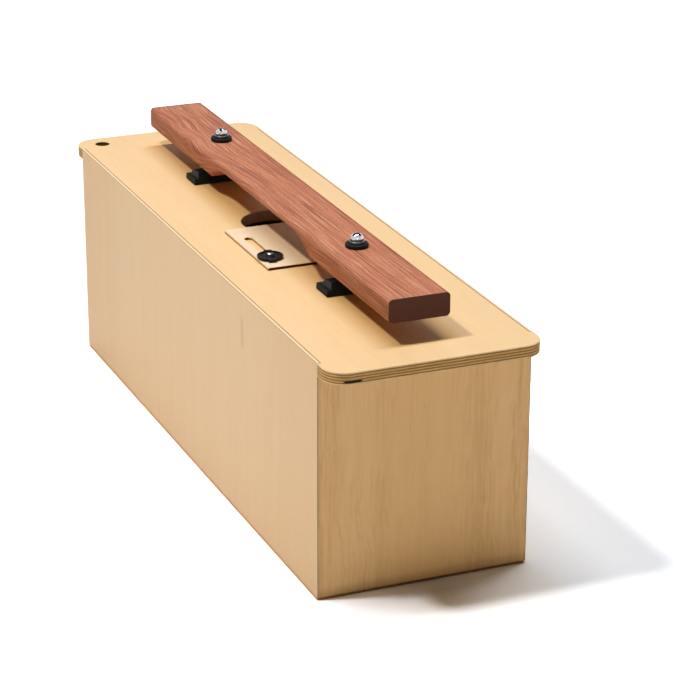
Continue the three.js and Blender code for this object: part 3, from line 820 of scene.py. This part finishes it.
# %% [markdown]
# ### Support and cushion
# The support is one rubber moulding: a flat foot that reaches out past the bar, and a riser flush with its front
# that slopes down to the rear. Both have a little draft, so that they leave the mould. Mould edges are never sharp:
# a bevel rounds them all, and it catches the light along the corner nearest to the lamp.

# %% Support and cushion
FOOT, FRONT, DRAFT = 6.4, 11.0, 0.3
RISER_FRONT, RISER_FOOT, RISER_TOP = 30.8, (33.0, 12.0), (31.4, 3.5)
SUPPORT_ROUND, CUSHION_ROUND = 0.8, 0.8

low, high, reach, depth = levels("bar_support")
corners = [(-reach, -FRONT), (reach, -FRONT), (reach, 2 * depth - FRONT), (-reach, 2 * depth - FRONT)]
foot = [[(x - math.copysign(draft, x), y - math.copysign(draft, y), z) for x, y in corners]
        for draft, z in ((0.0, low), (DRAFT, low + FOOT))]
riser = [[(-end, y, z), (end, y, z), (rear_end, rear, z), (-rear_end, rear, z)] for end, y, z, (rear_end, rear) in (
    (RISER_FRONT, -FRONT, low + FOOT - 1.0, RISER_FOOT), (RISER_FRONT - DRAFT, DRAFT - FRONT, high, RISER_TOP))]
support = joined("support", [loft("foot", foot), loft("riser", riser)])
# Painted highlight: the riser's ends are painted lighter above the foot.
support_rubber = moulded("moulded_support_rubber", "#0e0d0d", "#171515", 0.6, 0.12, 0.05, (low + FOOT, "#383638"))
at_both_nodes("supports", support, support_rubber, "bar_support", bevel=SUPPORT_ROUND)

low, high, radius, _ = levels("bar_cushion")
profile = ring_profile(radius, low, high, *[(CUSHION_ROUND, CUSHION_ROUND)] * 2)
at_both_nodes("cushions", turned("cushion", profile), black_rubber, "bar_cushion")

# %% [markdown]
# ### Grommet and washer
# The grommet is a flanged rubber bush: a neck in the bar's bore, a rounded rim on the bar's top and a raised collar.
# The washer is stamped, so its edges are a little rounded.

# %% Grommet and washer
RIM, COLLAR, NECK, SEAT_GAP = 4.2, 9.0, 5.6, 0.1
RIM_LOW, RIM_HIGH, COLLAR_ROUND = 1.5, 1.7, 0.5

low, high, radius, _ = levels("bar_grommet")
flange = BAR_TOP + SEAT_GAP
rim = arc(radius - RIM_LOW, flange + RIM_LOW, RIM_LOW, -90, 0, 4)
rim += arc(radius - RIM_HIGH, flange + RIM - RIM_HIGH, RIM_HIGH, 0, 90, 5)
collar = arc(COLLAR - COLLAR_ROUND, high - COLLAR_ROUND, COLLAR_ROUND, 0, 90, 3)
profile = [(BORE, low), (NECK, low), (NECK, flange)] + rim + [(COLLAR, flange + RIM)] + collar
profile += [(BORE, high), (BORE, low)]
at_both_nodes("grommets", turned("grommet", profile), black_rubber, "bar_grommet")

low, high, radius, _ = levels("bar_washer")
profile = ring_profile(radius, low, high, (0.2, 0.25), (0.3, 0.3))
at_both_nodes("washers", turned("washer", profile), washer_steel, "bar_washer")

# %% [markdown]
# ### Screw
# The screw is a round-head machine screw: its crown is a quarter ellipse made fuller by two exponents, and a tapered
# cross is cut out of it for the driver. The head is drawn a little narrower than the imported one, as the photograph
# shows it. The dark of the recess is painted shade, a mask: it starts a little below the crown, whose height at each
# place follows from the same two exponents.

# %% Screw
HEAD, HEAD_SIDE, HEAD_TRIM, HEAD_EASE = 7.4, 2.0, 0.5, 0.3
SHANK, TIP = 3.0, 0.6
FULL, ROUND = 0.85, 0.95
ARM, ARM_HALF, ARM_DEPTH, ARM_TAPER = 6.2, 1.6, 3.6, 0.7


def shank(low, seat):
    return [(0, low), (SHANK - TIP, low), (SHANK, low + TIP), (SHANK, seat)]


low, high, radius, _ = levels("bar_screw")
radius -= HEAD_TRIM
seat = high - HEAD
crown = [(radius * math.cos(t) ** FULL, seat + HEAD_SIDE + (HEAD - HEAD_SIDE) * math.sin(t) ** ROUND)
         for t in quarter(12)[:-1]]
profile = shank(low, seat) + [(radius - HEAD_EASE, seat), (radius, seat + HEAD_EASE)] + crown + [(0, high)]
screw = new_piece("screw", turned("screw", profile))
wings = []
for wide, deep in ((ARM, ARM_HALF), (ARM_HALF, ARM)):
    rings = [[(x * k * wide, y * k * deep, high + z) for x, y in SQUARE]
             for k, z in ((ARM_TAPER, -ARM_DEPTH), (1.0, 0.5))]
    wings.append(loft("wing", rings))
driver = new_piece("driver", joined("driver", wings))
cut = screw.modifiers.new("cross_recess", "BOOLEAN")
cut.object = driver
cut.use_self = True
screw_mesh = take_mesh(screw)
bpy.data.objects.remove(driver)


def below_crown(tree, mm):
    place, out = places(tree, mm)
    along = add_node(tree, "Math", out[1], NODE_Y, operation="SUBTRACT")
    spot = add_node(tree, "CombineXYZ", place[0], along)
    off = add_node(tree, "VectorMath", spot, operation="LENGTH")
    height = off
    for operation, value in (("MULTIPLY", 1 / radius), ("POWER", 1 / FULL), ("ARCSINE", 0.0), ("COSINE", 0.0),
                             ("POWER", ROUND), ("MULTIPLY", HEAD - HEAD_SIDE), ("ADD", seat + HEAD_SIDE)):
        height = add_node(tree, "Math", height, value, operation=operation)
    below = add_node(tree, "Math", height, place[2], operation="SUBTRACT")
    return [(below, 0.15, 0.4), (off, ARM + 0.2, ARM)]


screw_steel = plated_steel("zinc_plated_screw", "#9a9b9f", "#e6e6e8", 0.08, below_crown)
at_both_nodes("screws", screw_mesh, screw_steel, "bar_screw", 22, 62)

# %% [markdown]
# ## The tuning slide
# A thin plate with two slots lies on the lid and covers part of the sound hole. It is three-ply with pale faces and
# a dark core, which shows in front. At the sides the pale face reaches lower and the core is painted tan: painted
# light, as the left side faces the lamp. Towards the bar the face is painted a deeper yellow, painted shade for the
# bar's shadow. The plate and its slots are one board, and the colour of the core comes from the height again.

# %% Tuning slide
slide_low, slide_high = box_mm("tuning_slide")
SLIDE_FACE, SIDE_FACE = 0.5, 1.2
SLIDE_ROUND, SLIDE_EDGE = 1.0, 0.35
SLOT_HALF, SLOT_REAR, SLOT_FRONT, SLOT_APART = 4.7, -12.0, -88.8, 97.8


def slide_plywood():
    material, tree, mm = start_material("three_ply_slide")
    place = places(tree, mm)[0]
    face, tone = veneer_colour(tree, mm, ("#f0d0a6", "#fee3c1", "#ffeed5"), ACROSS, 0.25, 4.4)
    # Painted shade: towards the bar the face is tinted a deeper yellow, the warm colour of the bar's shadow.
    face = shade_where(tree, face, "#ffd9a2", (place[0], -44.0, -14.0), most=0.9)
    # Painted light: on faces that look sideways the pale face reaches lower and the core is tan.
    aside = facing(tree)[1][0]
    start = add_node(tree, "Math", aside, -SIDE_FACE, slide_high[2] - SLIDE_FACE, operation="MULTIPLY_ADD")
    above = add_node(tree, "Math", place[2], start, operation="SUBTRACT")
    core_with_painted_side_light = add_node(tree, "ValToRGB", aside, stops=[(0.0, "#3f2015"), (1.0, "#a67a4b")])
    top = soft_mask(tree, (above, -0.1, 0.1))
    colour = shade_where(tree, core_with_painted_side_light, face, (top, 0.0, 1.0))
    rough = add_node(tree, "MapRange", top, 0.0, 1.0, 0.75, 0.42)
    dress(tree, colour, rough, tone, 0.1, 0.03, IOR=1.5, Specular_IOR_Level=0.12)
    return material


x_1, x_2 = slide_low[0] + SLIDE_ROUND, slide_high[0] - SLIDE_ROUND
y_1, y_2 = slide_low[1] + SLIDE_ROUND, slide_high[1] - SLIDE_ROUND
outlines = [[point for x, y, turn in ((x_1, y_1, 180), (x_2, y_1, 270), (x_2, y_2, 0), (x_1, y_2, 90))
             for point in arc(x, y, SLIDE_ROUND, turn, turn + 90, 4)]]
for x in (SOUND_HOLE[0] - SLOT_APART / 2, SOUND_HOLE[0] + SLOT_APART / 2):
    outlines.append(arc(x, SLOT_REAR - SLOT_HALF, SLOT_HALF, 0, 180, 12)
                    + arc(x, SLOT_FRONT + SLOT_HALF, SLOT_HALF, 180, 360, 12))
plate = board("slide_plate", outlines, slide_low[2], slide_high[2], SLIDE_EDGE)
settle(new_piece("slide_plate", plate, slide_plywood()), "tuning_slide", ["tuning_slide"])

# %% [markdown]
# ## Knob
# The knob is a dished nylon disc with a finger lug at each end of one diameter and a hub for the bolt. Its ring and
# lugs are one board with a hole, and the floor and the hub are turned. The knob has its own body in the frame, so
# it is a piece of its own.

# %% Knob
knob_low, knob_high = box_mm("slide_knob")
KNOB, DISH, KNOB_RIM, KNOB_FLOOR, KNOB_EDGE = 13.0, 11.0, 2.2, 1.4, 0.5
HUB, HUB_EASE, HUB_FOOT, HUB_DRAFT, FLOOR_SEAT = 5.0, 0.6, 0.8, 0.2, 0.6
LUG_END, LUG_HALF, LUG_EASE, LUG_TURN = 15.4, 4.2, 0.8, 79.0

meet = math.degrees(math.asin(LUG_HALF / KNOB))
lug = [(LUG_EASE - LUG_END, LUG_HALF), (-LUG_END, LUG_HALF - LUG_EASE),
       (-LUG_END, LUG_EASE - LUG_HALF), (LUG_EASE - LUG_END, -LUG_HALF)]
outline = arc(0, 0, KNOB, meet, 180 - meet, 30) + lug
outline += [(-x, -y) for x, y in outline]
base, dish, top = knob_low[2], knob_low[2] + KNOB_FLOOR, knob_high[2]
ring = board("knob_ring", [outline, hole(0, 0, DISH, 60)], base, base + KNOB_RIM, KNOB_EDGE)
profile = [(BORE, base), (DISH + FLOOR_SEAT, base), (DISH + FLOOR_SEAT, dish), (HUB + HUB_FOOT, dish),
           (HUB + HUB_DRAFT, dish + HUB_EASE), (HUB, top - HUB_EASE), (HUB - HUB_EASE, top),
           (BORE, top), (BORE, base)]
knob = joined("knob", [ring, turned("knob_floor", profile)])
knob.transform(Matrix.Translation((BOLT[0] * MM, BOLT[1] * MM, 0)) @ Matrix.Rotation(math.radians(LUG_TURN), 4, "Z"))
settle(new_piece("knob", knob, nylon), "slide_knob", ["slide_knob"])

# %% [markdown]
# ## Bolt and guide screw
# The bolt comes up through the lid from its domed head, and the guide screw goes down from a round one. Both stay in
# the lid while the plate slides past them, so they ride on the resonator. Each is one turned profile, and so is each
# washer.

# %% Bolt, guide screw and their washers
BOLT_HEAD, BOLT_SIDE, BOLT_DOME, BOLT_TIP = 6.0, 1.2, 2.3, 0.5
GUIDE_HEAD, GUIDE_SIDE, GUIDE_DOME = 5.0, 1.0, 2.0
WASHER = 9.0


def on_axis(name, profile, axis, node):
    mesh = turned(name, profile, 40)
    mesh.transform(Matrix.Translation((axis[0] * MM, axis[1] * MM, 0)))
    settle(new_piece(name, mesh, steel), "resonator", [node])


low, high = [corner[2] for corner in box_mm("slide_bolt")]
seat = LID_UNDER - SEAT_GAP
dome = [(BOLT_HEAD * math.sin(t), seat - BOLT_SIDE - BOLT_DOME * math.cos(t)) for t in quarter(8)[1:]]
stem = [(BOLT_HEAD, seat), (SHANK, seat), (SHANK, high - BOLT_TIP), (SHANK - BOLT_TIP, high), (0, high)]
on_axis("clamp_bolt", [(0, low)] + dome + stem, BOLT, "slide_bolt")

low, high = [corner[2] for corner in box_mm("slide_guide_screw")]
rim = high - GUIDE_DOME
crown = [(GUIDE_HEAD * math.cos(t), rim + GUIDE_DOME * math.sin(t)) for t in quarter(8)[:-1]]
under = rim - GUIDE_SIDE
on_axis("guide_screw", shank(low, under) + [(GUIDE_HEAD, under)] + crown + [(0, high)], GUIDE, "slide_guide_screw")

for name, axis, node in (("clamp_washer", BOLT, "slide_washer"), ("guide_washer", GUIDE, "slide_guide_washer")):
    low, high = [corner[2] for corner in box_mm(node)]
    on_axis(name, ring_profile(WASHER, low, high, (0.2, 0.2), (0.25, 0.25)), axis, node)

# %% [markdown]
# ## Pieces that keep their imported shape
# The bottom, the battens, the feet and the T-nuts are plain shapes that sit inside or under the box. Their packed
# solids are already right, so they only get their finishes.

# %% Finishes for the hidden pieces
kept = {"bottom_panel": inner_veneer, "corner_batten": pine, "foot": foot_rubber, "bar_tee_nut": steel}
for name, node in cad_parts.items():
    for start, material in kept.items():
        if name.startswith(start):
            node.data.materials.clear()
            node.data.materials.append(material)
            print(name, "in", material.name)

# %% [markdown]
# ## Floor
# The floor bounces light back as white paper would. For the camera and for reflections it is a little brighter, so
# that it reads white outside the shadow without adding light to the object, and it is painted darker close to the
# front panel, painted shade where little light gets in. Away from the middle of the front panel the shadow is
# painted a trace cooler, as skylight would fill it, and the slit under the box is painted the brown light that the
# wood would throw into it.

# %% Floor
FLOOR_HALF = 20.0
SHADOW_MIDDLE, SHADOW_LONGER = (122.0, -341.0, 0.0), 141.0
SHADOW_EDGE, SHADOW_TONE, WHITE_TONE = (118.0, 165.0), 1.22, 1.8
COOL_MIDDLE, COOL_EDGE = (40.0, 0.0, 0.0), (60.0, 90.0)
DARKEST = 0.42


def seen_directly(tree):
    path = add_node(tree, "LightPath").outputs
    seen = path["Is Camera Ray"]
    for ray in ("Is Glossy Ray", "Is Transmission Ray"):
        seen = add_node(tree, "Math", seen, path[ray], operation="MAXIMUM")
    return seen


sheet = bpy.data.meshes.new("floor")
sheet.from_pydata([(x * FLOOR_HALF, y * FLOOR_HALF, 0) for x, y in SQUARE], [], [(0, 1, 2, 3)])
floor = bpy.data.objects.new("floor", sheet)
scene.collection.objects.link(floor)

paper, tree, mm = start_material("white_paper")
place, out = places(tree, mm)
off = off_from(tree, mm, SHADOW_MIDDLE)
beyond = add_node(tree, "Math", off[1], SHADOW_LONGER, operation="SUBTRACT")
aside = add_node(tree, "Math", off[0], beyond, operation="MAXIMUM")
bright = add_node(tree, "MapRange", aside, *SHADOW_EDGE, SHADOW_TONE, WHITE_TONE)
# Painted shade: close to the front panel the floor is darkened for the camera.
painted_front_shade = [(place[1], -404.0, -374.0), (place[0], -110.0, -30.0), (place[0], 120.0, 10.0),
                (place[1], -320.0, -330.0)]
bright = shade_where(tree, bright, "#000000", *painted_front_shade, most=DARKEST)
tint = shade_where(tree, (1, 1, 1, 1), bright, (seen_directly(tree), 0.0, 1.0))
# Painted shade: the shadow is tinted a trace cooler away from the middle of the front panel.
painted_cool_shadow = (off_from(tree, mm, COOL_MIDDLE)[0], *COOL_EDGE)
tint = shade_where(tree, tint, (0.985, 1.02, 1.075, 1), painted_cool_shadow, blend="MULTIPLY")
# Painted light: in the slit under the box the floor is tinted the brown that the wood would throw into it.
below = [(out[0], OUTER_X + 1.0, OUTER_X - 1.0), (out[1], OUTER_Y + 1.0, OUTER_Y - 1.0)]
tint = shade_where(tree, tint, (0.9, 0.5, 0.2, 1), *below, blend="MULTIPLY")
diffuse = add_node(tree, "BsdfDiffuse", Color=tint)
add_node(tree, "OutputMaterial", Surface=diffuse)
sheet.materials.append(paper)
print("floor is white paper")

# %% [markdown]
# ## Light
# The shadows tell how the picture was lit. The bar's shadow on the lid fades out over 25 mm on the left, so a strip
# of light runs across the box above it. The sharper edge inside that shadow, and the edges on the floor, come
# from one small lamp: lines from the two top edges of the box to their shadows meet 1.6 m above the lid, to the left.
# A row of suns stands for the strip, because suns light the floor evenly to the horizon. Each is given the share of
# the light that it adds to a level surface, and all shares make about 1, so that a colour renders as it is written.

# %% Light
STRIP_SLOPES = [-0.40 + 0.11 * i for i in range(7)]
BEHIND = 0.165
STRIP_SHARE, LAMP_SHARE, FILL_SHARE, REFLECTOR_SHARE = 0.54, 0.40, 0.06, 0.006
STRIP_SPREAD, REFLECTOR_SPREAD = 8, 25
LAMP_PLACE = Vector((-792, -145, 1835)) * MM
LAMP_RADIUS = 80 * MM


def add_light(name, kind, place, **settings):
    light = bpy.data.lights.new(name, kind)
    for key, value in settings.items():
        setattr(light, key, value)
    lamp = bpy.data.objects.new(name, light)
    lamp.location = place
    lamp.rotation_euler = Vector(place).to_track_quat("Z", "Y").to_euler()
    scene.collection.objects.link(lamp)


def sun(name, direction, level_share, spread):
    power = level_share * math.pi / Vector(direction).normalized().z
    add_light(name, "SUN", direction, energy=power, angle=math.radians(spread))


for i, slope in enumerate(STRIP_SLOPES):
    sun(f"strip_{i}", (-slope, BEHIND, 1.0), STRIP_SHARE / len(STRIP_SLOPES), STRIP_SPREAD)
sun("reflector", (-0.1, -1.0, 0.1), REFLECTOR_SHARE, REFLECTOR_SPREAD)
drop = LAMP_PLACE - Vector((0, 0, LID_TOP * MM))
lamp_power = LAMP_SHARE * (2 * math.pi) ** 2 * drop.length ** 3 / drop.z
add_light("lamp", "POINT", LAMP_PLACE, energy=lamp_power, shadow_soft_size=LAMP_RADIUS)

world = bpy.data.worlds.new("studio")
scene.world = world
world.use_nodes = True
tree = world.node_tree
tree.nodes.clear()
strength = add_node(tree, "MapRange", seen_directly(tree), 0.0, 1.0, FILL_SHARE, 1.0)
sky = add_node(tree, "Background", Color=(1, 1, 1, 1), Strength=strength)
add_node(tree, "OutputWorld", Surface=sky)
scene.view_settings.view_transform = "Standard"
print(len(STRIP_SLOPES), "suns and a lamp of", round(lamp_power), "W")
